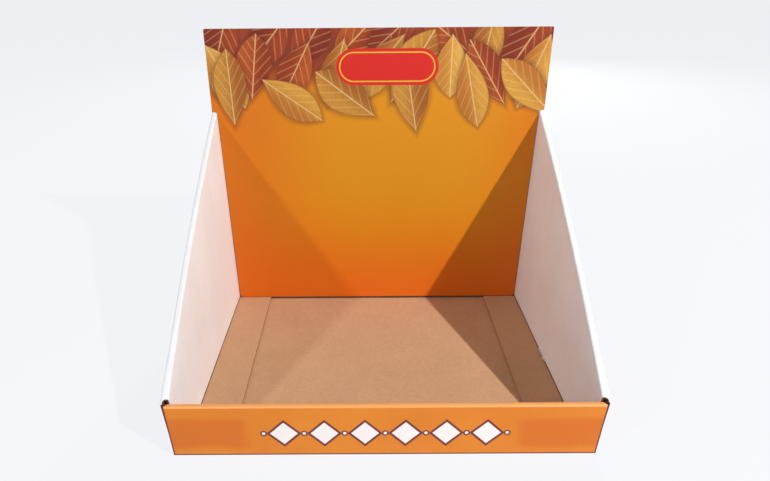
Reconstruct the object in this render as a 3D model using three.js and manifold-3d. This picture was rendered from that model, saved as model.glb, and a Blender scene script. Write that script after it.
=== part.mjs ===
// Counter display tray folded from one sheet of thin corrugated board, with a separate header card.
// Millimetres, +Z up. The front faces -Y, and the origin is on the ground in the middle of the tray.
import * as THREE from "three";
import { mergeVertices } from "three/addons/utils/BufferGeometryUtils.js";
import Module from "manifold-3d";

// Board
const boardThickness = 1.8;
const layerGap = 0.3; // left between two layers that lie on each other
const foldRadius = 2; // outside of a scored fold

// Tray
const trayWidth = 400; // across the floor and the back wall
const trayDepth = 292;
const lipHeight = 58; // top of the front wall
const wallRearHeight = 262.2; // top of a side wall where it meets the back wall
const backWallHeight = 257;
const sideWallThickness = 6; // width of the strip that a side wall folds over
const sideFlare = 3.6; // how far each side wall leans out at the lip
const innerLean = 4.5; // how far the foot of an inner side panel stands in
const innerFootGap = 1; // the inner side panels stop this far above the bottom flanges
const cornerSpread = 1.6; // how much further an outer panel leans out beside the lip
const cornerSpreadLength = 70;
const flangeWidth = 53.5; // bottom flanges, glued down on the floor
const frontEndInset = 1.2; // the front wall stops this far short of the outside at each end
const lipEndCut = 4.4; // the lip narrows by this much at each end, from its front to its rear
const tabLength = 46; // corner tabs, tucked inside the front wall
const tabCorner = 9; // cut off the free end of a corner tab
const stripTipSetback = 3.8; // from the front face to the tip of a side wall's top strip
const stripCutWidth = 4.5; // the tip is cut back across this much of the strip

// A chip missing from the foot of the right inner panel
const chipHeight = 1.8;
const chipLength = 23;
const chipMiddle = 3; // behind the middle of the tray
const chipSlope = 2; // how far the chip's two ends slope inwards
const chipToothHeight = 1.1; // of the notch between the chip's two deeper bites

// Header card
const cardWidth = 399.4;
const cardHeight = 356; // its top edge above the ground
const cardClearance = 0.4; // to the side walls, just below the shoulders and under them
const cardFootClearance = 1; // to the side walls on each side at the foot
const cardTopRadius = 1.5;
const cardFootRadius = 4;

// Number of straight stretches along a side wall, which has a slight twist, and in one fold's curve
const wallSteps = 16;
const foldSegments = 4;

const quarterTurn = Math.PI / 2;

// Places that follow from the sizes above
const halfWidth = trayWidth / 2;
const frontY = -trayDepth / 2;
const rearY = trayDepth / 2;
const floorTop = boardThickness;
const flangeBottom = floorTop + layerGap;
const flangeTop = flangeBottom + boardThickness;
const innerFoot = flangeTop + innerFootGap;
const lipThickness = 3 * boardThickness + 2 * layerGap; // outer panel, corner tab and inner panel
const tabFrontY = frontY + boardThickness + layerGap;
const innerFrontY = frontY + lipThickness + layerGap;
const innerRearY = rearY - boardThickness - layerGap;
const cardRearY = innerRearY;
const cutMargin = 1; // how far a cutting shape runs past what it cuts

const wasm = await Module();
wasm.setup();

// How far forward a place is: 0 at the back of the tray and 1 at its front.
function forwardShare(y) {
  return (rearY - y) / trayDepth;
}

// Height of a side wall's sloping top edge.
function wallTop(y) {
  return wallRearHeight - (wallRearHeight - lipHeight) * forwardShare(y);
}

// The side walls are upright at the back and lean out more and more towards the front.
function flareAt(y, z) {
  return sideFlare * (z / lipHeight) * forwardShare(y);
}

// Beside the lip the outer panels lean out a little more than the inner ones.
function spreadAt(y, z) {
  const nearness = THREE.MathUtils.clamp(1 - (y - frontY) / cornerSpreadLength, 0, 1);
  return cornerSpread * (z / lipHeight) * nearness * nearness;
}

function moveVertices(geometry, move) {
  const position = geometry.getAttribute("position");
  const point = new THREE.Vector3();
  for (let i = 0; i < position.count; i += 1) {
    point.fromBufferAttribute(position, i);
    move(point);
    position.setXYZ(i, point.x, point.y, point.z);
  }
  return geometry;
}

function flareOut(point) {
  const hollow = sideWallThickness - 2 * boardThickness;
  const intoHollow = point.x - (halfWidth - boardThickness - hollow);
  const outerShare = THREE.MathUtils.clamp(intoHollow / hollow, 0, 1);
  point.x += flareAt(point.y, point.z) + outerShare * spreadAt(point.y, point.z);
}

function solidOf(geometry) {
  const bare = geometry.clone();
  bare.deleteAttribute("normal");
  bare.deleteAttribute("uv");
  const merged = mergeVertices(bare);
  return new wasm.Manifold(
    new wasm.Mesh({
      numProp: 3,
      vertProperties: merged.getAttribute("position").array,
      triVerts: new Uint32Array(merged.index.array),
    }),
  );
}

function geometryOf(solid) {
  const mesh = solid.getMesh();
  const geometry = new THREE.BufferGeometry();
  geometry.setAttribute("position", new THREE.BufferAttribute(mesh.vertProperties, mesh.numProp));
  geometry.setIndex(new THREE.BufferAttribute(mesh.triVerts, 1));
  return geometry;
}

// The same solid on the other side of the tray, with its faces turned to point out again.
function mirrored(solid) {
  const geometry = geometryOf(solid);
  moveVertices(geometry, (point) => {
    point.x = -point.x;
  });
  const turned = geometry.index.array.slice().reverse();
  geometry.setIndex(new THREE.BufferAttribute(turned, 1));
  return solidOf(geometry);
}

// A plate that stands across the tray, from an outline in X and Z. Its rear face is at rearFaceY.
function uprightPlate(outline, rearFaceY, thickness) {
  const geometry = new THREE.ExtrudeGeometry(outline, {
    depth: thickness,
    bevelEnabled: false,
    curveSegments: foldSegments,
  });
  return geometry.rotateX(quarterTurn).translate(0, rearFaceY, 0);
}

// An upright prism from an outline in X and Y.
function planPrism(outline, bottomZ, topZ) {
  const geometry = new THREE.ExtrudeGeometry(outline, {
    depth: topZ - bottomZ,
    bevelEnabled: false,
    curveSegments: foldSegments,
  });
  return geometry.translate(0, 0, bottomZ);
}

function outlineOf(points) {
  return new THREE.Shape(points.map(([across, up]) => new THREE.Vector2(across, up)));
}

// Section of the right side wall at the back of the tray: bottom flange, outer panel, top strip and
// inner panel, which stands free on the flange.
function sideWallSection() {
  const top = wallRearHeight;
  const stripInner = halfWidth - sideWallThickness;
  const section = new THREE.Shape();
  section.moveTo(halfWidth - flangeWidth, flangeBottom);
  section.lineTo(halfWidth - foldRadius, flangeBottom);
  section.absarc(halfWidth - foldRadius, flangeBottom + foldRadius, foldRadius, -quarterTurn, 0, false);
  section.lineTo(halfWidth, top - foldRadius);
  section.absarc(halfWidth - foldRadius, top - foldRadius, foldRadius, 0, quarterTurn, false);
  section.lineTo(stripInner + foldRadius, top);
  section.absarc(stripInner + foldRadius, top - foldRadius, foldRadius, quarterTurn, Math.PI, false);
  section.lineTo(stripInner - innerLean, innerFoot);
  section.lineTo(stripInner - innerLean + boardThickness, innerFoot);
  section.lineTo(stripInner + boardThickness, top - boardThickness);
  section.lineTo(halfWidth - boardThickness, top - boardThickness);
  section.lineTo(halfWidth - boardThickness, flangeTop);
  section.lineTo(halfWidth - flangeWidth, flangeTop);
  return section;
}

// The section is set at these places, from the back of the tray to the corner fold at the front.
function wallStations() {
  const stations = [rearY];
  for (let i = 0; i <= wallSteps; i += 1) {
    stations.push(THREE.MathUtils.lerp(innerRearY, innerFrontY, i / wallSteps));
  }
  stations.push(tabFrontY);
  return stations;
}

// The section runs along the tray. Its upper half follows the slope and its foot stays level.
function sideWallBlank() {
  const stations = wallStations();
  const geometry = new THREE.ExtrudeGeometry(sideWallSection(), {
    depth: stations.length - 1,
    steps: stations.length - 1,
    bevelEnabled: false,
    curveSegments: foldSegments,
  });
  geometry.rotateX(quarterTurn);
  return moveVertices(geometry, (point) => {
    const isUpper = point.z > wallRearHeight / 2;
    point.y = stations[Math.round(-point.y)];
    if (isUpper) point.z -= wallRearHeight - wallTop(point.y);
    flareOut(point);
  });
}

// What is cut off the front of the flange, the inner panel and the top strip, whose tip is slanted.
function frontEndCutter() {
  const inside = halfWidth - flangeWidth - sideWallThickness;
  const besideOuterPanel = halfWidth - boardThickness - layerGap;
  const tipShare = (halfWidth - besideOuterPanel) / stripCutWidth;
  const tipY = THREE.MathUtils.lerp(frontY + stripTipSetback, innerFrontY, tipShare);
  const outline = outlineOf([
    [inside, frontY - cutMargin],
    [besideOuterPanel, frontY - cutMargin],
    [besideOuterPanel, tipY],
    [halfWidth - stripCutWidth, innerFrontY],
    [inside, innerFrontY],
  ]);
  return moveVertices(planPrism(outline, -cutMargin, wallRearHeight + cutMargin), flareOut);
}

// The flange, the inner panel and the top strip end just in front of the back wall.
function rearEndCutter() {
  const inside = halfWidth - flangeWidth - sideWallThickness;
  const besideOuterPanel = halfWidth - boardThickness - layerGap;
  const outline = outlineOf([
    [inside, innerRearY],
    [besideOuterPanel, innerRearY],
    [besideOuterPanel, rearY + cutMargin],
    [inside, rearY + cutMargin],
  ]);
  return planPrism(outline, -cutMargin, wallRearHeight + cutMargin);
}

// Rounds an upright fold whose corner is at the outside of the wall. outward is 1 at the back and -1
// at the front.
function uprightFoldCutter(cornerY, outward, topZ) {
  const outline = new THREE.Shape();
  const centreX = halfWidth - foldRadius;
  const centreY = cornerY - outward * foldRadius;
  outline.moveTo(halfWidth + cutMargin, centreY);
  outline.lineTo(halfWidth + cutMargin, cornerY + outward * cutMargin);
  outline.lineTo(centreX, cornerY + outward * cutMargin);
  outline.lineTo(centreX, cornerY);
  outline.absarc(centreX, centreY, foldRadius, outward * quarterTurn, 0, outward > 0);
  return moveVertices(planPrism(outline, flangeBottom - layerGap / 2, topZ), flareOut);
}

// The tab at the front edge of the outer panel, folded in behind the front wall's outer panel.
function cornerTab() {
  const topZ = lipHeight - boardThickness - layerGap;
  const insideFold = halfWidth - boardThickness / 2;
  const leanOut = (z) => flareAt(tabFrontY, z) + spreadAt(tabFrontY, z);
  const outline = outlineOf([
    [halfWidth - tabLength + tabCorner, flangeBottom],
    [insideFold + leanOut(flangeBottom), flangeBottom],
    [insideFold + leanOut(topZ), topZ],
    [halfWidth - tabLength + tabCorner, topZ],
    [halfWidth - tabLength, topZ - tabCorner],
    [halfWidth - tabLength, flangeBottom + tabCorner],
  ]);
  return uprightPlate(outline, tabFrontY + boardThickness, boardThickness);
}

function rightSideWall() {
  return solidOf(sideWallBlank())
    .subtract(solidOf(frontEndCutter()))
    .subtract(solidOf(rearEndCutter()))
    .add(solidOf(cornerTab()))
    .subtract(solidOf(uprightFoldCutter(rearY, 1, wallRearHeight + cutMargin)))
    .subtract(solidOf(uprightFoldCutter(tabFrontY, -1, wallTop(tabFrontY) + cutMargin)));
}

// Turns a section drawn in Y and Z so that it runs along X.
const acrossTray = new THREE.Matrix4().makeBasis(
  new THREE.Vector3(0, 1, 0),
  new THREE.Vector3(0, 0, 1),
  new THREE.Vector3(1, 0, 0),
);

// The chip is a shallow double bite out of the inner panel's foot, drawn in Y and Z.
function footChip() {
  const from = chipMiddle - chipLength / 2;
  const to = chipMiddle + chipLength / 2;
  const base = innerFoot - layerGap / 2;
  const outline = outlineOf([
    [from, base],
    [to, base],
    [to - chipSlope, innerFoot + chipHeight],
    [chipMiddle, innerFoot + chipToothHeight],
    [from + chipSlope, innerFoot + chipHeight],
  ]);
  const geometry = new THREE.ExtrudeGeometry(outline, {
    depth: innerLean + sideWallThickness - boardThickness,
    bevelEnabled: false,
  });
  return geometry
    .applyMatrix4(acrossTray)
    .translate(halfWidth - sideWallThickness - innerLean - cutMargin, 0, 0);
}

// Section of the back wall, the floor and the front wall, which folds over at the lip and comes down
// again inside the tray.
function floorSection() {
  const lipRearY = frontY + lipThickness;
  const section = new THREE.Shape();
  section.moveTo(rearY, backWallHeight);
  section.lineTo(rearY - boardThickness, backWallHeight);
  section.lineTo(rearY - boardThickness, floorTop);
  section.lineTo(frontY + boardThickness, floorTop);
  section.lineTo(frontY + boardThickness, lipHeight - boardThickness);
  section.lineTo(lipRearY - boardThickness, lipHeight - boardThickness);
  section.lineTo(lipRearY - boardThickness, innerFoot);
  section.lineTo(lipRearY, innerFoot);
  section.lineTo(lipRearY, lipHeight - foldRadius);
  section.absarc(lipRearY - foldRadius, lipHeight - foldRadius, foldRadius, 0, quarterTurn, false);
  section.lineTo(frontY + foldRadius, lipHeight);
  section.absarc(frontY + foldRadius, lipHeight - foldRadius, foldRadius, quarterTurn, Math.PI, false);
  section.lineTo(frontY, foldRadius);
  section.absarc(frontY + foldRadius, foldRadius, foldRadius, Math.PI, Math.PI + quarterTurn, false);
  section.lineTo(rearY - foldRadius, 0);
  section.absarc(rearY - foldRadius, foldRadius, foldRadius, -quarterTurn, 0, false);
  return section;
}

// Half the width of the back wall, floor and front wall at a place in their section.
function halfWidthAt(y, z) {
  const isFolded = z > flangeBottom && y < innerFrontY;
  const cutShare = isFolded ? (y - frontY) / lipThickness : 0;
  return halfWidth - frontEndInset * forwardShare(y) + flareAt(y, z) - lipEndCut * cutShare;
}

function floorAndEndWalls() {
  const geometry = new THREE.ExtrudeGeometry(floorSection(), {
    depth: 1,
    bevelEnabled: false,
    curveSegments: foldSegments,
  });
  geometry.applyMatrix4(acrossTray);
  return moveVertices(geometry, (point) => {
    const side = point.x > 0 ? 1 : -1;
    point.x = side * halfWidthAt(point.y, point.z);
  });
}

function traySolid() {
  const rightWall = rightSideWall();
  const leftWall = mirrored(rightWall);
  return solidOf(floorAndEndWalls())
    .add(rightWall.subtract(solidOf(footChip())))
    .add(leftWall);
}

// Right half of the header card's outline, from the middle of its foot to the middle of its top. Below
// the shoulders it fits between the inner side panels, and a relief clears the fold on top of each wall.
function headerOutline() {
  const foot = flangeTop + layerGap;
  const wallInner = halfWidth - sideWallThickness;
  const reliefRadius = foldRadius + cardClearance;
  const reliefZ = wallTop(cardRearY) - foldRadius;
  const footHalf = wallInner - innerLean - cardFootClearance;
  const half = cardWidth / 2;
  const topCentreX = half - cardTopRadius;
  const topCentreZ = cardHeight - cardTopRadius;
  const footCentreX = footHalf - cardFootRadius;
  const footCentreZ = foot + cardFootRadius;
  const outline = new THREE.Shape();
  outline.moveTo(-footCentreX, foot);
  outline.lineTo(footCentreX, foot);
  outline.absarc(footCentreX, footCentreZ, cardFootRadius, -quarterTurn, 0, false);
  outline.lineTo(wallInner - cardClearance, reliefZ);
  outline.absarc(wallInner + foldRadius, reliefZ, reliefRadius, Math.PI, quarterTurn, true);
  outline.lineTo(half, reliefZ + reliefRadius);
  outline.lineTo(half, topCentreZ);
  outline.absarc(topCentreX, topCentreZ, cardTopRadius, 0, quarterTurn, false);
  outline.lineTo(-topCentreX, cardHeight);
  outline.absarc(-topCentreX, topCentreZ, cardTopRadius, quarterTurn, Math.PI, false);
  outline.lineTo(-half, reliefZ + reliefRadius);
  outline.lineTo(-wallInner - foldRadius, reliefZ + reliefRadius);
  outline.absarc(-wallInner - foldRadius, reliefZ, reliefRadius, quarterTurn, 0, true);
  outline.lineTo(-footHalf, footCentreZ);
  outline.absarc(-footCentreX, footCentreZ, cardFootRadius, Math.PI, Math.PI + quarterTurn, false);
  return outline;
}

function flatShaded(geometry) {
  const loose = geometry.toNonIndexed();
  loose.computeVertexNormals();
  return loose;
}

const trayBoard = new THREE.MeshStandardMaterial({ color: "#eee4e0", roughness: 0.62, metalness: 0 });
const tray = new THREE.Mesh(flatShaded(geometryOf(traySolid())), trayBoard);
tray.name = "tray";

const cardBoard = new THREE.MeshStandardMaterial({ color: "#dd7f20", roughness: 0.45, metalness: 0 });
const headerCard = new THREE.Mesh(uprightPlate(headerOutline(), cardRearY, boardThickness), cardBoard);
headerCard.name = "header_card";

const displayBox = new THREE.Group();
displayBox.add(tray, headerCard);

export default displayBox;
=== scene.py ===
import math
import random

import bmesh
import bpy
from mathutils import Matrix, Vector


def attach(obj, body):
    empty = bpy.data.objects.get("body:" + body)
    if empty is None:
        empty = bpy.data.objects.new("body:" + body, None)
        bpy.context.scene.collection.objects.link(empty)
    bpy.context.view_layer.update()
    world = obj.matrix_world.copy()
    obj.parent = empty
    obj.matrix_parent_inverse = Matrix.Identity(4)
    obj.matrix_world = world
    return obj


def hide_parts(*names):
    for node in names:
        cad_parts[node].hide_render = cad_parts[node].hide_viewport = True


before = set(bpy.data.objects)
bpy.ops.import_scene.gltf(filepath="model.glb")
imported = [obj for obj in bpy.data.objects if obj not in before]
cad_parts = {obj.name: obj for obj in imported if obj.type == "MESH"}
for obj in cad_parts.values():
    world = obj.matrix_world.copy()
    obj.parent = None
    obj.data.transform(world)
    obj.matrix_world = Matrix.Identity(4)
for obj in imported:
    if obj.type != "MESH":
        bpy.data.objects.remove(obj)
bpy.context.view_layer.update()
print("frame loaded")

mm = 0.001


def paint(red, green, blue):
    # a printed colour, given in 0 to 255 as it is seen
    def linear(level):
        level = level / 255
        return level / 12.92 if level <= 0.04045 else ((level + 0.055) / 1.055) ** 2.4
    return (linear(red), linear(green), linear(blue), 1)


class Wire:
    # one output socket, so that shader maths reads as plain expressions

    def __init__(self, sheet, socket):
        self.sheet = sheet
        self.socket = socket

    def math(self, operation, *values):
        return self.sheet.math(operation, self, *values)

    def __add__(self, other):
        return self.math("ADD", other)

    def __radd__(self, other):
        return self.sheet.math("ADD", other, self)

    def __sub__(self, other):
        return self.math("SUBTRACT", other)

    def __rsub__(self, other):
        return self.sheet.math("SUBTRACT", other, self)

    def __mul__(self, other):
        return self.math("MULTIPLY", other)

    def __truediv__(self, other):
        return self.math("DIVIDE", other)

    def __abs__(self):
        return self.math("ABSOLUTE")

    def under(self, limit, soft, share=None):
        # 1 where the value is below the limit and 0 above it, with a soft step between, or a share of that
        return self.sheet.step(self, limit + soft / 2, limit - soft / 2, share)

    def over(self, limit, soft, share=None):
        return self.sheet.step(self, limit - soft / 2, limit + soft / 2, share)


class Sheet:
    # a node tree that is being written

    def __init__(self, tree):
        self.tree = tree
        tree.nodes.clear()

    def add(self, kind, settings=None, sockets=None, out=0):
        node = self.tree.nodes.new(kind)
        for key, value in (settings or {}).items():
            setattr(node, key, value)
        for key, value in (sockets or {}).items():
            self.put(node.inputs[key], value)
        return Wire(self, node.outputs[out]) if len(node.outputs) else None

    def put(self, socket, value):
        if isinstance(value, Wire):
            self.tree.links.new(value.socket, socket)
        else:
            socket.default_value = value

    def math(self, operation, *values):
        return self.add("ShaderNodeMath", {"operation": operation}, dict(enumerate(values)))

    def step(self, value, low, high, share):
        sockets = {"Value": value, "From Min": low, "From Max": high}
        step = self.add("ShaderNodeMapRange", {"interpolation_type": "SMOOTHSTEP"}, sockets)
        return step * share if share else step

    def mix(self, factor, under, over):
        sockets = {0: factor, 6: under, 7: over}
        return self.add("ShaderNodeMix", {"data_type": "RGBA"}, sockets, out=2)

    def parts(self, vector):
        x = self.add("ShaderNodeSeparateXYZ", None, {0: vector})
        return [Wire(self, output) for output in x.socket.node.outputs]

    def scaled(self, vector, factors):
        return self.add("ShaderNodeVectorMath", {"operation": "MULTIPLY"}, {0: vector, 1: factors})

    def noise(self, vector, scale, detail, roughness):
        sockets = {"Vector": vector, "Scale": scale, "Detail": detail, "Roughness": roughness}
        return self.add("ShaderNodeTexNoise", None, sockets)

    def millimetres(self):
        first = self.add("ShaderNodeTexCoord")
        place = Wire(self, first.socket.node.outputs["Object"])
        return self.scaled(place, (1000, 1000, 1000))

    def bump(self, height, strength, distance):
        sockets = {"Height": height, "Strength": strength, "Distance": distance}
        return self.add("ShaderNodeBump", None, sockets)

    def surface(self, sockets):
        shader = self.add("ShaderNodeBsdfPrincipled", None, sockets)
        self.add("ShaderNodeOutputMaterial", None, {"Surface": shader})


def newMaterial(name):
    material = bpy.data.materials.new(name)
    material.use_nodes = True
    return material, Sheet(material.node_tree)


cameraView = {
    "place": (-19.66, -572.55, 423.87),  # mm
    "yaw": -0.0034,  # radians, as are the next two
    "down": 0.4288,
    "roll": -0.0075,
    "focal": 596.81,  # pixels
    "centre": (360.58, 234.99),
    "picture": (770, 481),
    "sensor": 36,  # mm
    "farthest": 100,  # m
}


def addCamera(view):
    yaw, down, roll = view["yaw"], view["down"], view["roll"]
    forward = Vector((math.sin(yaw) * math.cos(down), math.cos(yaw) * math.cos(down), -math.sin(down)))
    right = Vector((math.cos(yaw), -math.sin(yaw), 0))
    up = right.cross(forward)
    right, up = (
        right * math.cos(roll) + up * math.sin(roll),
        up * math.cos(roll) - right * math.sin(roll),
    )
    width, height = view["picture"]
    data = bpy.data.cameras.new("camera")
    data.sensor_width = view["sensor"]
    data.lens = view["focal"] / width * view["sensor"]
    data.shift_x = (width / 2 - view["centre"][0]) / width
    data.shift_y = (view["centre"][1] - height / 2) / width
    data.clip_end = view["farthest"]
    camera = bpy.data.objects.new("camera", data)
    turn = Matrix((right, up, -forward)).transposed()
    camera.matrix_world = Matrix.Translation(Vector(view["place"]) * mm) @ turn.to_4x4()
    bpy.context.collection.objects.link(camera)
    bpy.context.scene.camera = camera


addCamera(cameraView)


lightSetup = {
    "ambient": 0.12,
    "ambientColour": (1, 0.87, 0.84, 1),
    "background": paint(246, 248, 252),
    "floor": paint(246, 247, 249),
    "floorSize": 40,  # m
    "floorGlow": 0.91,  # share of plain background colour that the camera sees on the floor
    "aim": (0, 0, 100),  # mm, where every lamp points
    "lamps": [
        # name, place in mm, size in mm, watts, colour
        ("keyLamp", (1331, -1200, 1500), 45, 44, (1, 0.99, 0.98)),
        ("sideLamp", (-1382, -1264, 1036), 140, 12, (0.9, 0.96, 1)),
        ("backLamp", (500, 2200, 900), 400, 36, (1, 1, 1)),
    ],
}


def addLights(setup):
    for name, place, size, watts, colour in setup["lamps"]:
        data = bpy.data.lights.new(name, "AREA")
        data.shape = "DISK"
        data.size = size * mm
        data.energy = watts
        data.color = colour
        lamp = bpy.data.objects.new(name, data)
        lamp.location = Vector(place) * mm
        aim = Vector(setup["aim"]) * mm - lamp.location
        lamp.rotation_euler = aim.to_track_quat("-Z", "Y").to_euler()
        bpy.context.collection.objects.link(lamp)


def seenDirectly(sheet):
    # 1 for what the camera sees straight, in a gloss or through something clear
    rays = sheet.add("ShaderNodeLightPath").socket.node.outputs
    seen = Wire(sheet, rays["Is Camera Ray"])
    for name in ("Is Glossy Ray", "Is Transmission Ray"):
        seen = seen.math("MAXIMUM", Wire(sheet, rays[name]))
    return seen


def addSurroundings(setup):
    world = bpy.data.worlds.new("studio")
    bpy.context.scene.world = world
    world.use_nodes = True
    sheet = Sheet(world.node_tree)
    seen = seenDirectly(sheet)
    colour = sheet.mix(seen, setup["ambientColour"], setup["background"])
    strength = setup["ambient"] + seen * (1 - setup["ambient"])
    shader = sheet.add("ShaderNodeBackground", None, {"Color": colour, "Strength": strength})
    sheet.add("ShaderNodeOutputWorld", None, {"Surface": shader})

    material, sheet = newMaterial("paleFloor")
    seen = seenDirectly(sheet)
    plain = sheet.add("ShaderNodeBsdfDiffuse", None, {"Color": setup["floor"]})
    glow = sheet.add("ShaderNodeEmission", None, {"Color": setup["background"], "Strength": 1})
    both = sheet.add("ShaderNodeMixShader", None, {0: seen * setup["floorGlow"], 1: plain, 2: glow})
    sheet.add("ShaderNodeOutputMaterial", None, {"Surface": both})
    bpy.ops.mesh.primitive_plane_add(size=setup["floorSize"])
    floor = bpy.context.object
    floor.name = "studioFloor"
    floor.data.materials.append(material)


addLights(lightSetup)
addSurroundings(lightSetup)
print("camera, lamps and floor ready")


# In all the looks, a noise is its scale per mm, detail and roughness, a tone is its limit, the width of its
# soft step and often its share, and a bump is its strength and distance.

traySizes = {  # mm
    "depth": 292,
    "lip": 58,
    "flare": 3.6,
    "lipHalf": 198.8,  # the lip's half width along its front
    "lipCut": 4.4,  # how much less that is along its rear
    "lipThick": 6,
    "board": 1.8,
    "flangeEdge": 146.5,
    "flangeMiddle": 3,
    "backTop": 257,
    "insideFrom": -139.7,  # front and rear ends of the flanges
    "insideTo": 143.9,
}


boardLook = {
    "flutePitch": 3.2,  # mm
    "kraft": paint(205, 165, 128),
    "kraftDark": paint(184, 140, 100),
    "kraftPale": paint(218, 180, 144),
    "kraftFleck": paint(128, 88, 58),
    # painted shade for kraft in the narrow gaps at the foot of the walls and the card, and behind the card
    "paintedGapShade": paint(84, 46, 36),
    # painted shade for kraft inside the holes at the two ends of the lip
    "kraftHoleShade": paint(62, 32, 34),
    "white": paint(247, 250, 254),
    "whiteSoiled": paint(240, 237, 237),
    "edge": paint(186, 140, 98),
    # painted shade in the open flutes of cut edges; the second, lighter one is the painted shade for the
    # flange edges
    "edgeShade": paint(112, 76, 48),
    "flangeEdgeShade": paint(172, 124, 88),
}


def fluteWave(along):
    # the flutes under the liner show as very faint ribs
    return (along * (2 * math.pi / boardLook["flutePitch"])).math("SINE")


# painted shade: where the narrow gaps under the side walls' inner panels and under the header card are
# darkened
shadeStripPlaces = {  # mm
    "wallFoot": 188.9,  # from the middle, where a side wall's inner panel stands over the flange
    "wallSpread": 0.001,  # how much further out its foot is for each mm towards the front
    "cardFoot": 141.3,  # behind the middle, where the header card stands over the floor
    "soft": 0.4,
    "upTo": (4, 0.1),
}


def shadeStrips(sheet, place):
    # 1 in the narrow strips of painted shade at the foot of the side walls and of the card
    x, y, z = sheet.parts(place)
    spread = (traySizes["depth"] / 2 - y) * shadeStripPlaces["wallSpread"]
    atWall = (abs(x) - spread).over(shadeStripPlaces["wallFoot"], shadeStripPlaces["soft"])
    atCard = y.over(shadeStripPlaces["cardFoot"], shadeStripPlaces["soft"])
    return atWall.math("MAXIMUM", atCard) * z.under(*shadeStripPlaces["upTo"])


kraftLook = {
    "clouds": (0.02, 4, 0.6),
    "cloudTone": (0.5, 0.5, 0.3),
    "fibres": (0.8, 4, 0.65),
    "fibreStretch": (0.25, 1.6),  # along a fibre and across it
    "darkFibres": (0.56, 0.14, 0.45),
    "paleFibres": (0.43, 0.12, 0.4),
    "flecks": (0.55, 2, 0.5),
    "fleckTone": (0.735, 0.03, 0.7),
    "ribTone": (0, 2, 0.06),
    "paintedShadeShare": 0.85,
    "ribHeight": 0.02,
    "fibreHeight": 0.12,
    "bump": (0.5, 0.001),
    "roughness": 0.78,
    "fibreRoughness": 0.14,
}


def makeKraft(name, axis, paintedShade=None):
    material, sheet = newMaterial(name)
    place = sheet.millimetres()
    along = sheet.parts(place)[axis]
    clouds = sheet.noise(place, *kraftLook["clouds"])
    colour = sheet.mix(clouds.over(*kraftLook["cloudTone"]), boardLook["kraft"], boardLook["kraftDark"])
    long, thin = kraftLook["fibreStretch"]
    fibreA = sheet.noise(sheet.scaled(place, (long, thin, 1)), *kraftLook["fibres"])
    fibreB = sheet.noise(sheet.scaled(place, (thin, long, 1)), *kraftLook["fibres"])
    fibres = (fibreA + fibreB) * 0.5
    colour = sheet.mix(fibres.over(*kraftLook["darkFibres"]), colour, boardLook["kraftDark"])
    colour = sheet.mix(fibres.under(*kraftLook["paleFibres"]), colour, boardLook["kraftPale"])
    flecks = sheet.noise(place, *kraftLook["flecks"])
    colour = sheet.mix(flecks.over(*kraftLook["fleckTone"]), colour, boardLook["kraftFleck"])
    ribs = fluteWave(along)
    colour = sheet.mix(ribs.over(*kraftLook["ribTone"]), colour, boardLook["kraftDark"])
    # painted shade: over the whole kraft where it lies only in shade, or else in the narrow gaps at the foot
    # of the walls and the card
    if paintedShade:
        colour = sheet.mix(kraftLook["paintedShadeShare"], colour, paintedShade)
    else:
        gaps = shadeStrips(sheet, place) * kraftLook["paintedShadeShare"]
        colour = sheet.mix(gaps, colour, boardLook["paintedGapShade"])
    height = ribs * kraftLook["ribHeight"] + fibres * kraftLook["fibreHeight"]
    sheet.surface({
        "Base Color": colour,
        "Roughness": kraftLook["roughness"] + fibres * kraftLook["fibreRoughness"],
        "Normal": sheet.bump(height, *kraftLook["bump"]),
    })
    return material


whiteLook = {
    "clouds": (0.012, 4, 0.6),
    "cloudTone": (0.52, 0.4, 0.6),
    "streaks": (0.12, 3, 0.6),
    "streakStretch": (1, 1, 0.03),
    "streakTone": (0.55, 0.25, 0.3),
    "grain": (1.4, 3, 0.6),
    "ribHeight": 0.03,
    "grainHeight": 0.05,
    "bump": (0.5, 0.001),
    "roughness": 0.5,
    "grainRoughness": 0.2,
}


def makeWhite(name, axis):
    material, sheet = newMaterial(name)
    place = sheet.millimetres()
    along = sheet.parts(place)[axis]
    clouds = sheet.noise(place, *whiteLook["clouds"])
    colour = sheet.mix(clouds.over(*whiteLook["cloudTone"]), boardLook["white"], boardLook["whiteSoiled"])
    streaks = sheet.noise(sheet.scaled(place, whiteLook["streakStretch"]), *whiteLook["streaks"])
    colour = sheet.mix(streaks.over(*whiteLook["streakTone"]), colour, boardLook["whiteSoiled"])
    grain = sheet.noise(place, *whiteLook["grain"])
    height = fluteWave(along) * whiteLook["ribHeight"] + grain * whiteLook["grainHeight"]
    sheet.surface({
        "Base Color": colour,
        "Roughness": whiteLook["roughness"] + grain * whiteLook["grainRoughness"],
        "Normal": sheet.bump(height, *whiteLook["bump"]),
    })
    return material


edgeLook = {
    "fuzz": (1.1, 3, 0.7),
    "ribShare": 0.5,
    "shadeTone": (0.62, 0.7),
    "sunk": 0.6,
    "bump": (0.6, 0.0006),
    "roughness": 0.9,
}


def makeEdge(name, axis, dark=boardLook["edgeShade"]):
    # cut edge of the board: two liners and the open ends of the flutes, with painted shade in the flutes
    material, sheet = newMaterial(name)
    place = sheet.millimetres()
    ribs = fluteWave(sheet.parts(place)[axis])
    fuzz = sheet.noise(place, *edgeLook["fuzz"])
    shade = (ribs * edgeLook["ribShare"] + fuzz).over(*edgeLook["shadeTone"])
    sheet.surface({
        "Base Color": sheet.mix(shade, boardLook["edge"], dark),
        "Roughness": edgeLook["roughness"],
        "Normal": sheet.bump(fuzz - shade * edgeLook["sunk"], *edgeLook["bump"]),
    })
    return material


inkLook = {
    "grain": (1.2, 3, 0.6),
    "ribHeight": 0.03,
    "grainHeight": 0.03,
    "bump": (0.4, 0.001),
    "roughness": 0.42,
    "grainRoughness": 0.16,
    "specular": 0.3,
}


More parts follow.
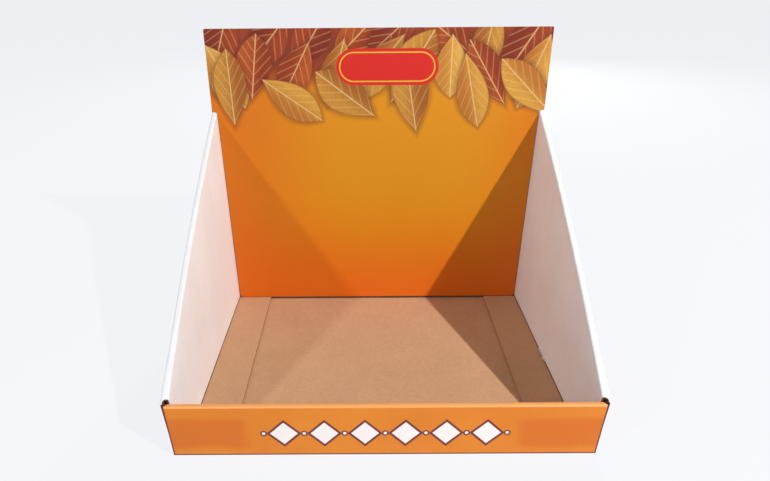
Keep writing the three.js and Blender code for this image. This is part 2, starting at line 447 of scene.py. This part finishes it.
def printedSurface(sheet, place, along, colour):
    # printed liner, with the flutes just showing along one axis
    grain = sheet.noise(place, *inkLook["grain"])
    height = fluteWave(along) * inkLook["ribHeight"] + grain * inkLook["grainHeight"]
    sheet.surface({
        "Base Color": colour,
        "Roughness": inkLook["roughness"] + grain * inkLook["grainRoughness"],
        "Specular IOR Level": inkLook["specular"],
        "Normal": sheet.bump(height, *inkLook["bump"]),
    })


trayPrint = {
    "orange": paint(224, 136, 38),
    "orangeDeep": paint(209, 102, 26),
    # painted highlight along the top of the lip, which faces up to the light
    "lip": paint(252, 174, 104),
    # printed outline of the lozenges, and painted shade in the dark lines at the front's ends and foot
    "keylineAndShade": paint(112, 44, 52),
    "white": paint(244, 240, 238),
    "cornerFold": paint(78, 34, 40),
    "clouds": (0.01, 3, 0.5),
    "cloudTone": (0.5, 0.4, 0.35),
    "lozengePitch": 37.6,  # mm
    "lozengeRow": (0.5, 27, 116.2),  # middle in x and z, and half the row's length
    "lozengeHalf": (16.2, 16),
    "lozengeSoft": 0.05,  # share of a lozenge, as is the next
    "outline": 0.2,
    "dots": (3.2, 1.6),  # radius of a dot and of its white core
    "dotSoft": 0.5,
    "rowSoft": 0.4,
    "cellsAside": 10,  # whole pitches added, so that the count of cells stays above zero
    "endFields": [(-1, 129), (1, 126)],  # side, and where a deeper field starts from the middle
    "fieldMiddle": 27,
    "fieldWander": 12,
    "fieldSoft": 14,
    "fieldHalf": (17, 9),
    "fieldShare": 0.65,
    "lipHighlightFrom": (56.6, 1.2),
    "ends": (1.3, 0.4),
    "face": (-145.4, 0.2),
    "foot": (2.5, 0.9),
    "footFace": (-144.5, 0.5),
    "deeperBelow": (120, 240, 0.8),
    "cornerFrom": (-141.6, 0.8),
}


def lozengeRow(sheet, x, z, colour):
    middleX, middleZ, reach = trayPrint["lozengeRow"]
    pitch, soft = trayPrint["lozengePitch"], trayPrint["lozengeSoft"]
    halfX, halfZ = trayPrint["lozengeHalf"]
    outer, core = trayPrint["dots"]
    cell = (x - middleX + pitch * trayPrint["cellsAside"]) / pitch
    local = abs(cell.math("FRACT") - 0.5) * pitch
    up = abs(z - middleZ)
    lozenge = local / halfX + up / halfZ
    inRow = abs(x - middleX).under(reach, trayPrint["rowSoft"])
    dots = ((pitch / 2 - local).math("POWER", 2) + up.math("POWER", 2)).math("SQRT")

    def shape(edge, radius):
        dot = dots.under(radius, trayPrint["dotSoft"])
        return lozenge.under(edge, soft).math("MAXIMUM", dot) * inRow

    colour = sheet.mix(shape(1, outer), colour, trayPrint["keylineAndShade"])
    return sheet.mix(shape(1 - trayPrint["outline"], core), colour, trayPrint["white"])


def frontPrint(sheet, place, clouds, colour):
    # deeper fields at both ends, a painted highlight along the lip, the row of lozenges, and dark lines of
    # painted shade at the ends and the foot
    x, y, z = sheet.parts(place)
    for side, start in trayPrint["endFields"]:
        wander = (clouds - 0.5) * trayPrint["fieldWander"]
        level = abs(z - trayPrint["fieldMiddle"] + wander).under(*trayPrint["fieldHalf"])
        field = (x * side + wander).over(start, trayPrint["fieldSoft"]) * level
        colour = sheet.mix(field * trayPrint["fieldShare"], colour, trayPrint["orangeDeep"])
    # painted highlight along the lip's top
    colour = sheet.mix(z.over(*trayPrint["lipHighlightFrom"]), colour, trayPrint["lip"])
    colour = lozengeRow(sheet, x, z, colour)
    # painted shade: dark lines along the front's two ends and its foot
    half = traySizes["lipHalf"] + z * (traySizes["flare"] / traySizes["lip"])
    ends = (half - abs(x)).under(*trayPrint["ends"]) * y.under(*trayPrint["face"])
    foot = z.under(*trayPrint["foot"]) * y.under(*trayPrint["footFace"])
    return sheet.mix(ends.math("MAXIMUM", foot), colour, trayPrint["keylineAndShade"])


def makePrint(name, axis, front=False):
    material, sheet = newMaterial(name)
    place = sheet.millimetres()
    x, y, z = sheet.parts(place)
    clouds = sheet.noise(place, *trayPrint["clouds"])
    colour = sheet.mix(clouds.over(*trayPrint["cloudTone"]), trayPrint["orange"], trayPrint["orangeDeep"])
    if front:
        colour = frontPrint(sheet, place, clouds, colour)
    else:
        colour = sheet.mix(z.under(*trayPrint["deeperBelow"]), colour, trayPrint["orangeDeep"])
        colour = sheet.mix(y.under(*trayPrint["cornerFrom"]), colour, trayPrint["cornerFold"])
    printedSurface(sheet, place, (x, y, z)[axis], colour)
    return material


leafLook = {
    "shadow": paint(96, 34, 20),
    "rib": paint(236, 198, 136),
    "rim": paint(120, 52, 26),
    "reach": -1.6,  # half lengths from the middle, where a leaf's place is held
    "taper": 0.3,
    "shadowTone": (-0.14, 0.5, 0.5),
    "halves": (0, 1.2),
    "speckle": (0.45, 4, 0.7),
    "speckleTone": (0.55, 0.2, 0.4),
    "veinSlant": 0.7,
    "veinRate": 19,
    "veinTone": (0.86, 0.2, 0.35),
    "ribTone": (0.035, 0.03),
    "ribShare": 0.6,
    "rimTone": (0.06, 0.08, 0.5),
    "outline": (0.015, 0.03),
}


def makeLeafGroup():
    # lays one leaf over the print that is under it
    group = bpy.data.node_groups.new("leafPrint", "ShaderNodeTree")
    inputs = {
        "Under": "NodeSocketColor",
        "Place": "NodeSocketVector",
        "Centre": "NodeSocketVector",
        "Turn": "NodeSocketVector",
        "Size": "NodeSocketVector",
        "Light": "NodeSocketColor",
        "Dark": "NodeSocketColor",
    }
    for name, kind in inputs.items():
        group.interface.new_socket(name, in_out="INPUT", socket_type=kind)
    group.interface.new_socket("Print", in_out="OUTPUT", socket_type="NodeSocketColor")
    sheet = Sheet(group)
    outputs = sheet.add("NodeGroupInput").socket.node.outputs
    given = {name: Wire(sheet, outputs[name]) for name in inputs}
    sockets = {
        "Vector": given["Place"],
        "Location": given["Centre"],
        "Rotation": given["Turn"],
        "Scale": given["Size"],
    }
    local = sheet.add("ShaderNodeMapping", {"vector_type": "TEXTURE"}, sockets)
    u, _, v = sheet.parts(local)
    u = u.math("MAXIMUM", leafLook["reach"])
    width = (1 - u * u) * (1 + u * leafLook["taper"])
    inside = width - abs(v)
    colour = sheet.mix(inside.over(*leafLook["shadowTone"]), given["Under"], leafLook["shadow"])
    body = sheet.mix(v.over(*leafLook["halves"]), given["Dark"], given["Light"])
    speckle = sheet.noise(given["Place"], *leafLook["speckle"])
    body = sheet.mix(speckle.over(*leafLook["speckleTone"]), body, given["Dark"])
    slanted = (u - abs(v) * leafLook["veinSlant"]) * leafLook["veinRate"]
    veins = slanted.math("SINE").over(*leafLook["veinTone"])
    rib = abs(v).under(*leafLook["ribTone"]).math("MAXIMUM", veins)
    body = sheet.mix(rib * leafLook["ribShare"], body, leafLook["rib"])
    body = sheet.mix(inside.under(*leafLook["rimTone"]), body, leafLook["rim"])
    colour = sheet.mix(inside.over(*leafLook["outline"]), colour, body)
    sheet.add("NodeGroupOutput", None, {0: colour})
    return group


cardPrint = {
    "amber": paint(214, 140, 16),
    "orange": paint(211, 114, 12),
    "deep": paint(224, 106, 20),
    "band": paint(150, 62, 32),
    "plate": paint(208, 38, 28),
    "plateRule": paint(226, 176, 60),
    "clouds": (0.008, 3, 0.5),
    "sideMiddle": 30,  # mm right of the middle, where the amber is clearest
    "sideTone": (135, 150),
    "deepWander": 40,
    "deepBelow": (105, 170),
    "bandWander": 30,
    "bandFrom": (315, 30),  # mm above the ground, behind the leaves
    "platePlace": (10.5, 312.5),
    "plateHalf": (60, 21),
    "plateSoft": 0.8,
    "ruleInside": 4.5,  # mm in from the plate's outline
    "ruleTone": (0.8, 0.5),
    "leafTones": [
        # light and dark half of a leaf
        (paint(208, 154, 62), paint(176, 108, 38)),
        (paint(196, 140, 54), paint(156, 90, 32)),
        (paint(176, 82, 32), paint(138, 50, 20)),
        (paint(220, 170, 78), paint(188, 124, 46)),
        (paint(156, 62, 28), paint(120, 38, 18)),
    ],
    "leafRows": [
        # height in mm, tones to pick from, number of leaves
        (344, (2, 4, 1), 8),
        (308, (0, 3, 1, 2), 9),
        (282, (0, 1, 3), 6),
    ],
    "leafSpan": 410,  # mm
    "leafShift": (9, 8),  # mm sideways and upwards
    "leafTurn": (35, 145),  # degrees
    "leafLength": (70, 100),
    "leafWidth": (36, 48),
    "seed": 12,
    "top": 356,  # mm, where the card's open top edge is
    "topHalf": 198.2,
    "middle": 143,  # mm behind the tray's middle, in the thick of the card
}


def leafPlaces():
    # three rows of leaves, each in front of the last and hanging lower
    pick = random.Random(cardPrint["seed"])
    span = cardPrint["leafSpan"]
    aside, upward = cardPrint["leafShift"]
    places = []
    for height, tones, count in cardPrint["leafRows"]:
        for i in range(count):
            x = -span / 2 + (i + 0.5) * span / count + pick.uniform(-aside, aside)
            z = height + pick.uniform(-upward, upward)
            turn = math.radians(pick.uniform(*cardPrint["leafTurn"]) * (1 if pick.random() < 0.5 else -1))
            length = pick.uniform(*cardPrint["leafLength"])
            width = pick.uniform(*cardPrint["leafWidth"])
            places.append((x, z, turn, length, width, pick.choice(tones)))
    return places


def platePrint(sheet, x, z, colour):
    # a bare plate with round ends and a thin rule inside its outline
    plateX, plateZ = cardPrint["platePlace"]
    halfX, halfZ = cardPrint["plateHalf"]
    run = (abs(x - plateX) - (halfX - halfZ)).math("MAXIMUM", 0)
    fromPlate = (run.math("POWER", 2) + (z - plateZ).math("POWER", 2)).math("SQRT")
    colour = sheet.mix(fromPlate.under(halfZ, cardPrint["plateSoft"]), colour, cardPrint["plate"])
    rule = abs(fromPlate - (halfZ - cardPrint["ruleInside"])).under(*cardPrint["ruleTone"])
    return sheet.mix(rule, colour, cardPrint["plateRule"])


def makeCardPrint():
    material, sheet = newMaterial("headerPrint")
    place = sheet.millimetres()
    x, _, z = sheet.parts(place)
    clouds = sheet.noise(place, *cardPrint["clouds"])
    aside = abs(x - cardPrint["sideMiddle"]).over(*cardPrint["sideTone"])
    colour = sheet.mix(aside, cardPrint["amber"], cardPrint["orange"])
    low = (z + clouds * cardPrint["deepWander"]).under(*cardPrint["deepBelow"])
    colour = sheet.mix(low, colour, cardPrint["deep"])
    band = (z + clouds * cardPrint["bandWander"]).over(*cardPrint["bandFrom"])
    colour = sheet.mix(band, colour, cardPrint["band"])
    group = makeLeafGroup()
    for leafX, leafZ, turn, length, width, tone in leafPlaces():
        light, dark = cardPrint["leafTones"][tone]
        sockets = {
            "Under": colour,
            "Place": place,
            "Centre": (leafX, 0, leafZ),
            "Turn": (0, turn, 0),
            "Size": (length / 2, 1, width / 2),
            "Light": light,
            "Dark": dark,
        }
        colour = sheet.add("ShaderNodeGroup", {"node_tree": group}, sockets)
    printedSurface(sheet, place, x, platePrint(sheet, x, z, colour))
    return material


def newGeometryTree(name, inputs):
    group = bpy.data.node_groups.new(name, "GeometryNodeTree")
    for label, kind in inputs.items():
        group.interface.new_socket(label, in_out="INPUT", socket_type=kind)
    group.interface.new_socket("Geometry", in_out="OUTPUT", socket_type="NodeSocketGeometry")
    sheet = Sheet(group)
    given = sheet.add("NodeGroupInput").socket.node.outputs
    return group, sheet, {label: Wire(sheet, given[label]) for label in inputs}


def finishTree(sheet, shape, material):
    plain = sheet.add("GeometryNodeRealizeInstances", None, {"Geometry": shape})
    done = sheet.add("GeometryNodeSetMaterial", None, {"Geometry": plain, "Material": material})
    sheet.add("NodeGroupOutput", None, {"Geometry": done})


def grown(group, values, name):
    # the plain mesh that a tree makes from its inputs
    piece = bpy.data.objects.new(name, bpy.data.meshes.new(name))
    bpy.context.collection.objects.link(piece)
    modifier = piece.modifiers.new(name, "NODES")
    modifier.node_group = group
    for item in group.interface.items_tree:
        if item.in_out == "INPUT":
            modifier[item.identifier] = values[item.name]
    graph = bpy.context.evaluated_depsgraph_get()
    mesh = bpy.data.meshes.new_from_object(piece.evaluated_get(graph), depsgraph=graph)
    piece.modifiers.clear()
    piece.data = mesh
    return piece


def joined(pieces, name):
    # several grown pieces as one mesh
    work = bmesh.new()
    for piece in pieces:
        work.from_mesh(piece.data)
    mesh = pieces[0].data.copy()
    work.to_mesh(mesh)
    work.free()
    for piece in pieces:
        bpy.data.objects.remove(piece)
    whole = bpy.data.objects.new(name, mesh)
    bpy.context.collection.objects.link(whole)
    return whole


flutes = {  # mm
    "liner": 0.28,  # thickness of the two liners round an open edge
    "linerInset": 0.002,
    "depth": 1.1,  # how deep the open edge is
    "sheet": 0.2,
    "clear": 0.01,  # round the wavy sheet
    "endClear": 0.05,
    "stepsPerFlute": 8,
}


def makeFluteTree():
    # one wavy sheet that runs along X, as it shows in the open edge of the board
    group, sheet, given = newGeometryTree("openFlutes", {
        "Length": "NodeSocketFloat",
        "Pitch": "NodeSocketFloat",
        "Swing": "NodeSocketFloat",
        "Sheet": "NodeSocketFloat",
        "Depth": "NodeSocketFloat",
        "Steps": "NodeSocketFloat",
        "Finish": "NodeSocketMaterial",
    })
    end = sheet.add("ShaderNodeCombineXYZ", None, {"X": given["Length"]})
    line = sheet.add("GeometryNodeCurvePrimitiveLine", None, {"End": end})
    count = (given["Length"] / given["Pitch"] * given["Steps"]).math("CEIL") + 1
    line = sheet.add("GeometryNodeResampleCurve", None, {"Curve": line, "Count": count})
    x = sheet.parts(sheet.add("GeometryNodeInputPosition"))[0]
    wave = (x / given["Pitch"] * (2 * math.pi)).math("SINE") * given["Swing"]
    shift = sheet.add("ShaderNodeCombineXYZ", None, {"Y": wave})
    line = sheet.add("GeometryNodeSetPosition", None, {"Geometry": line, "Offset": shift})
    line = sheet.add("GeometryNodeSetCurveNormal", {"mode": "Z_UP"}, {"Curve": line})
    sockets = {"Width": given["Sheet"], "Height": given["Depth"]}
    section = sheet.add("GeometryNodeCurvePrimitiveQuadrilateral", None, sockets)
    sockets = {"Curve": line, "Profile Curve": section, "Fill Caps": True}
    finishTree(sheet, sheet.add("GeometryNodeCurveToMesh", None, sockets), given["Finish"])
    return group


def openFlutes(group, start, end, across, finish):
    # start and end are in the middle of the edge's open face, and across is the board's own direction
    start, end, across = Vector(start), Vector(end), Vector(across)
    swing = traySizes["board"] / 2 - flutes["liner"] - flutes["sheet"] / 2 - flutes["clear"]
    values = {
        "Length": (end - start).length * mm,
        "Pitch": boardLook["flutePitch"] * mm,
        "Swing": swing * mm,
        "Sheet": flutes["sheet"] * mm,
        "Depth": (flutes["depth"] - 2 * flutes["clear"]) * mm,
        "Steps": flutes["stepsPerFlute"],
        "Finish": finish,
    }
    piece = grown(group, values, "flutes")
    along = (end - start).normalized()
    out = along.cross(across)
    turn = Matrix((along, across, out)).transposed().to_4x4()
    place = start - out * (flutes["depth"] / 2)
    piece.data.transform(Matrix.Translation(place * mm) @ turn)
    return piece


def openEdge(piece, isOpen):
    # sinks the chosen faces of a cut edge between the two liners
    liner, inset, depth = (flutes[name] * mm for name in ("liner", "linerInset", "depth"))
    work = bmesh.new()
    work.from_mesh(piece.data)
    faces = [face for face in work.faces if isOpen(face.calc_center_median() / mm, face.normal)]
    faces = bmesh.ops.dissolve_faces(work, faces=faces)["region"]
    bmesh.ops.inset_region(work, faces=faces, thickness=liner, use_even_offset=True)
    bmesh.ops.inset_region(work, faces=faces, thickness=inset, depth=-depth)
    work.to_mesh(piece.data)
    work.free()


tornFoot = {
    "from": (189.5, -9, 7),  # mm, along the chip in the right inner panel's foot
    "to": (189.5, 15, 7),
    "spread": (0.2, 0.9, 0.5),
    "flakes": 26,
    "corners": 5,
    "length": 4,
    "width": 1.9,
    "hang": 228,  # degrees round Y
    "turns": ((-0.6, -0.35, -0.4), (0.6, 0.45, 0.4)),  # least and most, in radians
    "scales": ((0.2, 0.5, 0.35), (0.35, 1.3, 1)),
    "seed": 5,
}


def makeTornTree():
    # little flakes of torn liner that hang from a line
    group, sheet, given = newGeometryTree("tornLiner", {
        "From": "NodeSocketVector",
        "To": "NodeSocketVector",
        "Spread": "NodeSocketVector",
        "Flakes": "NodeSocketInt",
        "Length": "NodeSocketFloat",
        "Width": "NodeSocketFloat",
        "Seed": "NodeSocketInt",
        "Finish": "NodeSocketMaterial",
    })

    def anyVector(low, high, shift):
        sockets = {0: low, 1: high, "Seed": given["Seed"] + shift}
        return sheet.add("FunctionNodeRandomValue", {"data_type": "FLOAT_VECTOR"}, sockets)

    sockets = {"Start": given["From"], "End": given["To"]}
    line = sheet.add("GeometryNodeCurvePrimitiveLine", None, sockets)
    line = sheet.add("GeometryNodeResampleCurve", None, {"Curve": line, "Count": given["Flakes"]})
    less = sheet.scaled(given["Spread"], (-1, -1, -1))
    sockets = {"Geometry": line, "Offset": anyVector(less, given["Spread"], 0)}
    line = sheet.add("GeometryNodeSetPosition", None, sockets)
    flake = sheet.add("GeometryNodeMeshCone", None, {
        "Vertices": tornFoot["corners"],
        "Radius Top": 0,
        "Radius Bottom": given["Width"] * 0.5,
        "Depth": given["Length"],
    })
    hang = math.radians(tornFoot["hang"])
    least, most = [(x, hang + y, z) for x, y, z in tornFoot["turns"]]
    sockets = {
        "Points": line,
        "Instance": flake,
        "Rotation": anyVector(least, most, 1),
        "Scale": anyVector(*tornFoot["scales"], 2),
    }
    finishTree(sheet, sheet.add("GeometryNodeInstanceOnPoints", None, sockets), given["Finish"])
    return group


def tearFoot(finishes):
    values = {
        "From": [level * mm for level in tornFoot["from"]],
        "To": [level * mm for level in tornFoot["to"]],
        "Spread": [level * mm for level in tornFoot["spread"]],
        "Flakes": tornFoot["flakes"],
        "Length": tornFoot["length"] * mm,
        "Width": tornFoot["width"] * mm,
        "Seed": tornFoot["seed"],
        "Finish": finishes["white"],
    }
    piece = grown(makeTornTree(), values, "tornFoot")
    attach(piece, "root")


copyRules = {"weld": 0.002, "sharp": 30}  # mm and degrees


def mergedCopy(node, name):
    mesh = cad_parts[node].data.copy()
    mesh.materials.clear()
    piece = bpy.data.objects.new(name, mesh)
    bpy.context.collection.objects.link(piece)
    work = bmesh.new()
    work.from_mesh(mesh)
    bmesh.ops.remove_doubles(work, verts=work.verts, dist=copyRules["weld"] * mm)
    work.to_mesh(mesh)
    work.free()
    for attribute in ("custom_normal", "sharp_face", "sharp_edge"):
        if attribute in mesh.attributes:
            mesh.attributes.remove(mesh.attributes[attribute])
    mesh.shade_smooth()
    mesh.set_sharp_from_angle(angle=math.radians(copyRules["sharp"]))
    return piece


facing = {  # share of a face's normal along an axis
    "square": 0.99,
    "flat": 0.9,
    "aside": 0.8,
    "half": 0.5,
    "slope": 0.45,
    "bend": 0.3,
}

heights = {  # mm above the ground
    "underside": 1,
    "floorEdge": 1.85,
    "walls": 1.9,
    "floorTop": 3,
    "flangeTop": 4.1,
    "panelFoot": 7,
    "footFold": 8,
    "tabFoot": 10,
    "lipFold": 55,
    "tabTop": 55.9,
    "stripTip": 57,
    "hole": 58.5,
}

depths = {  # mm behind the middle of the tray
    "frontFace": -145.5,
    "frontPrint": -145.4,
    "frontFold": -144,
    "cornerFold": -143.5,
    "besideTab": -143,
    "tabFace": -142.3,
    "liningFace": -140.3,
    "lining": -139.9,
    "besideLip": -139.55,
    "inFront": -100,
    "panelEnd": 143.5,
    "backFold": 143.95,
    "behindCard": 144,
    "backFace": 145.5,
}

widths = {  # mm from the middle, less the flare
    "flange": 160,
    "besideLip": 190,
    "tabEnd": 195.2,
    "insideWall": 197,
    "footFold": 197.5,
    "topFold": 198,
    "outside": 199,
}

nearness = {  # mm
    "cardTop": 0.01,
    "tabTop": 0.1,
    "lipPrint": 0.1,
    "backTop": 0.2,
    "flangeEdge": 0.3,
    "lipEnd": 0.7,
}


def besideLip(y, z, across, outward, normal):
    # the holes at the two ends of the lip show the inside of the board, painted dark as shade, and the
    # corner fold outside
    share = min(max((y + traySizes["depth"] / 2) / traySizes["lipThick"], 0), 1)
    lipEnd = traySizes["lipHalf"] - traySizes["lipCut"] * share
    if outward > facing["half"] and abs(across - lipEnd) < nearness["lipEnd"] and z < heights["hole"]:
        return "holeShade"
    if across < lipEnd + nearness["lipPrint"]:
        if normal.z > facing["bend"] or (y < depths["frontPrint"] and normal.y < 0):
            return "printFront"
    if normal.z > facing["slope"] and z > heights["stripTip"]:
        return "white"
    atCorner = y < depths["cornerFold"] and normal.y < -facing["bend"]
    if across > widths["outside"] and (outward > facing["bend"] or atCorner):
        return "printSide"
    return "holeShade"


def levelFinish(z, up):
    # faces that lie flat, from the ground up
    if z < heights["underside"]:
        return "under"
    if z < heights["floorTop"]:
        return "kraftFloor" if up else "under"
    if z < heights["flangeTop"]:
        return "kraftFlange"
    if z < heights["panelFoot"]:
        return "edgeSide"
    # the top of the corner tab, deep in the hole, gets the hole's painted shade
    if abs(z - heights["tabTop"]) < nearness["tabTop"]:
        return "holeShade"
    if abs(z - traySizes["backTop"]) < nearness["backTop"]:
        return "edgeFront"
    return "printFront" if up else "kraftFloor"


def frontwardFinish(y, z, across, forward):
    # upright faces that look to the front or the back, from the back to the front
    if y > depths["backFace"]:
        return "printBack"
    # the back wall's inner face, which is darkened all over as painted shade
    if y > depths["behindCard"]:
        return "kraftBehindShade"
    if y > depths["lining"]:
        return "edgeSide"
    if across > widths["tabEnd"] and y > depths["tabFace"] and z > heights["tabFoot"]:
        return "edgeSide"
    if y < depths["frontFace"] or y > depths["liningFace"]:
        return "printFront"
    return "printSide" if forward and y < depths["besideTab"] else "kraftFloor"


def sidewardFinish(x, y, across, outward):
    # upright faces that look to the left or the right
    if abs(x) < widths["flange"]:
        return "edgeFlange"
    if outward > 0:
        return "printSide" if across > widths["outside"] else "kraftSide"
    # the hollow inside a wall near the front gets the hole's painted shade
    if across > widths["insideWall"]:
        return "holeShade" if y < depths["inFront"] else "kraftSide"
    return "white"


def foldFinish(y, z, across, outward, normal):
    # the round outsides of the folds, and whatever slopes
    low = z < heights["footFold"]
    if y < depths["lining"] and z > heights["lipFold"]:
        return "printFront"
    if low and y < depths["frontFold"]:
        return "printFront"
    if low and y > depths["behindCard"]:
        return "printBack"
    if low and across > widths["footFold"]:
        return "printSide"
    if y > depths["backFold"]:
        return "printBack"
    if normal.z > facing["slope"]:
        return "white"
    if normal.z < -facing["slope"]:
        return "kraftSide"
    if across > widths["topFold"]:
        return "printSide"
    return "white" if outward < 0 else "edgeSide"


def sideOfBoard(centre, normal):
    # which finish a face of the tray has
    x, y, z = centre
    side = 1 if x > 0 else -1
    outward = normal.x * side
    share = (traySizes["depth"] / 2 - y) / traySizes["depth"]
    across = abs(x) - traySizes["flare"] * (z / traySizes["lip"]) * share
    if z < heights["floorEdge"] and outward > facing["aside"]:
        return "edgeSide"
    if y < depths["besideLip"] and across > widths["besideLip"] and z > heights["footFold"]:
        return besideLip(y, z, across, outward, normal)
    if abs(normal.z) > facing["flat"]:
        return levelFinish(z, normal.z > 0)
    if abs(normal.y) > facing["flat"]:
        return frontwardFinish(y, z, across, normal.y < 0)
    if abs(outward) > facing["aside"] and z > heights["walls"]:
        return sidewardFinish(x, y, across, outward)
    return foldFinish(y, z, across, outward, normal)


def dressTray():
    piece = mergedCopy("tray", "trayBoard")
    finishes = {
        "kraftFloor": makeKraft("kraftFloor", 0),
        "kraftFlange": makeKraft("kraftFlange", 1),
        "kraftSide": makeKraft("kraftSide", 1),
        # the back wall's inner face, seen only through the gap behind the card, is darkened all over as
        # painted shade
        "kraftBehindShade": makeKraft("kraftBehindShade", 0, boardLook["paintedGapShade"]),
        # kraft inside the holes at the lip's ends, darkened all over as painted shade
        "holeShade": makeKraft("kraftHoleShade", 1, boardLook["kraftHoleShade"]),
        "white": makeWhite("whiteLiner", 1),
        "under": makeWhite("whiteUnderside", 0),
        "printFront": makePrint("printFront", 0, front=True),
        "printBack": makePrint("printBack", 0),
        "printSide": makePrint("printSide", 1),
        "edgeFront": makeEdge("cutEdgeFront", 0),
        "edgeSide": makeEdge("cutEdgeSide", 1),
        "edgeFlange": makeEdge("cutEdgeFlange", 1, boardLook["flangeEdgeShade"]),
    }
    order = list(finishes)
    for name in order:
        piece.data.materials.append(finishes[name])
    for face in piece.data.polygons:
        name = sideOfBoard(face.center / mm, face.normal)
        face.material_index = order.index(name)

    def isFlangeEdge(centre, normal):
        offset = abs(abs(centre.x) - traySizes["flangeEdge"])
        return abs(normal.x) > facing["flat"] and offset < nearness["flangeEdge"]

    openEdge(piece, isFlangeEdge)
    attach(piece, "root")
    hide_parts("tray")
    return finishes


def fluteTray(group, finishes):
    liner = flutes["liner"] + flutes["endClear"]
    edge, level = traySizes["flangeEdge"], traySizes["flangeMiddle"]
    frontEdge = edge + traySizes["flare"] * level / traySizes["lip"]
    front, rear = traySizes["insideFrom"] + liner, traySizes["insideTo"] - liner
    upward, paper = (0, 0, 1), finishes["edgeFront"]
    pieces = [
        openFlutes(group, (-frontEdge, front, level), (-edge, rear, level), upward, paper),
        openFlutes(group, (edge, rear, level), (frontEdge, front, level), upward, paper),
    ]
    whole = joined(pieces, "trayFlutes")
    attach(whole, "root")


trayFinishes = dressTray()
fluteTree = makeFluteTree()
fluteTray(fluteTree, trayFinishes)
tearFoot(trayFinishes)
print("tray dressed")


def dressCard(finishes):
    piece = mergedCopy("header_card", "headerCard")
    faces = [makeCardPrint(), finishes["kraftFloor"], finishes["edgeFront"], finishes["edgeSide"]]
    for material in faces:
        piece.data.materials.append(material)
    for face in piece.data.polygons:
        if abs(face.normal.y) > facing["flat"]:
            face.material_index = 0 if face.normal.y < 0 else 1
        else:
            face.material_index = 2 if abs(face.normal.z) > facing["half"] else 3

    def isTopEdge(centre, normal):
        return normal.z > facing["square"] and abs(centre.z - cardPrint["top"]) < nearness["cardTop"]

    openEdge(piece, isTopEdge)
    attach(piece, "root")
    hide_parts("header_card")


def fluteCard(group, finishes):
    half = cardPrint["topHalf"] - flutes["liner"] - flutes["endClear"]
    middle, top = cardPrint["middle"], cardPrint["top"]
    backward, paper = (0, 1, 0), finishes["edgeFront"]
    piece = openFlutes(group, (-half, middle, top), (half, middle, top), backward, paper)
    piece.name = "cardFlutes"
    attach(piece, "root")


dressCard(trayFinishes)
fluteCard(fluteTree, trayFinishes)
print("header card dressed")


scene = bpy.context.scene
scene.view_settings.view_transform = "Standard"
